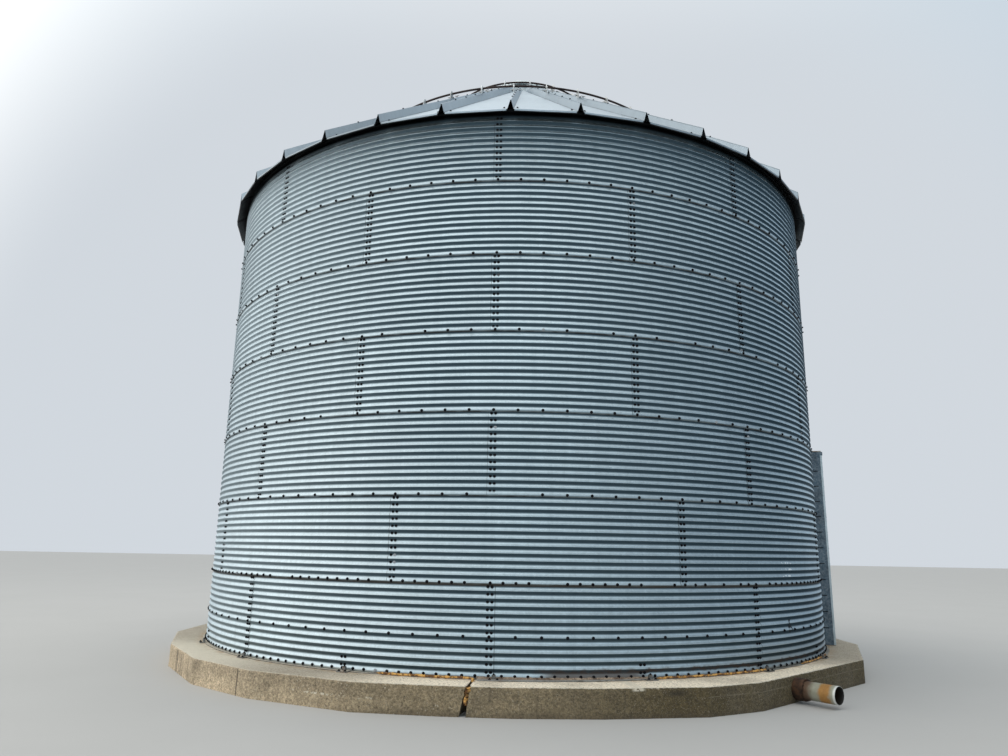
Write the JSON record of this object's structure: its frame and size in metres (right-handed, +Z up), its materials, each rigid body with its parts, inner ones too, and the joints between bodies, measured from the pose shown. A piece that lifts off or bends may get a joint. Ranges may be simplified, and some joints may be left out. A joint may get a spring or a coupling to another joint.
{
  "type": "corrugated steel grain silo",
  "caption": "Round corrugated steel farm silo with a ribbed cone roof, pipe hoops, a doorway surround and a concrete base.",
  "frame": {"origin": "middle of the foundation's flat underside, on the silo's axis", "axes": "+Z up the silo's axis, -Y towards the front with the cracked concrete, +X towards the doorway's side"},
  "size_m": [9.0853, 9.075, 9.0143],
  "materials": {
    "concrete": "rough weathered concrete",
    "galvanised_steel": "dull galvanised",
    "corrugated_steel": "weathered galvanised, spangled",
    "roof_steel": "galvanised",
    "door_steel": "dull galvanised",
    "rusty_pipe": "rusted",
    "rusty_steel": "rusted",
    "tube_steel": "weathered, with a rust band"
  },
  "bodies": {
    "root": {"foundation": "concrete", "base_angle_a": "galvanised_steel", "base_angle_b": "galvanised_steel", "base_angle_c": "galvanised_steel", "wall_ring_1_a": "corrugated_steel", "wall_ring_1_b": "corrugated_steel", "wall_ring_1_c": "corrugated_steel", "wall_ring_1_d": "corrugated_steel", "wall_ring_2_a": "corrugated_steel", "wall_ring_2_b": "corrugated_steel", "wall_ring_2_c": "corrugated_steel", "wall_ring_2_d": "corrugated_steel", "wall_ring_3_a": "corrugated_steel", "wall_ring_3_b": "corrugated_steel", "wall_ring_3_c": "corrugated_steel", "wall_ring_3_d": "corrugated_steel", "wall_ring_4_a": "corrugated_steel", "wall_ring_4_b": "corrugated_steel", "wall_ring_4_c": "corrugated_steel", "wall_ring_5_a": "corrugated_steel", "wall_ring_5_b": "corrugated_steel", "wall_ring_5_c": "corrugated_steel", "wall_ring_6_a": "corrugated_steel", "wall_ring_6_b": "corrugated_steel", "wall_ring_6_c": "corrugated_steel", "wall_ring_7_a": "corrugated_steel", "wall_ring_7_b": "corrugated_steel", "wall_ring_7_c": "corrugated_steel", "door_jamb_near": "door_steel", "door_jamb_far": "door_steel", "door_head": "door_steel", "door_sill": "door_steel", "door_panel": "door_steel", "roof_sector_1": "roof_steel", "roof_sector_2": "roof_steel", "roof_sector_3": "roof_steel", "roof_sector_4": "roof_steel", "roof_sector_5": "roof_steel", "roof_sector_6": "roof_steel", "lower_stiffening_ring": "rusty_pipe", "upper_stiffening_ring": "rusty_pipe", "peak_collar": "roof_steel", "peak_lid": "roof_steel", "unloading_tube": "tube_steel", "tube_sleeve": "rusty_steel"}
  },
  "joints": []
}
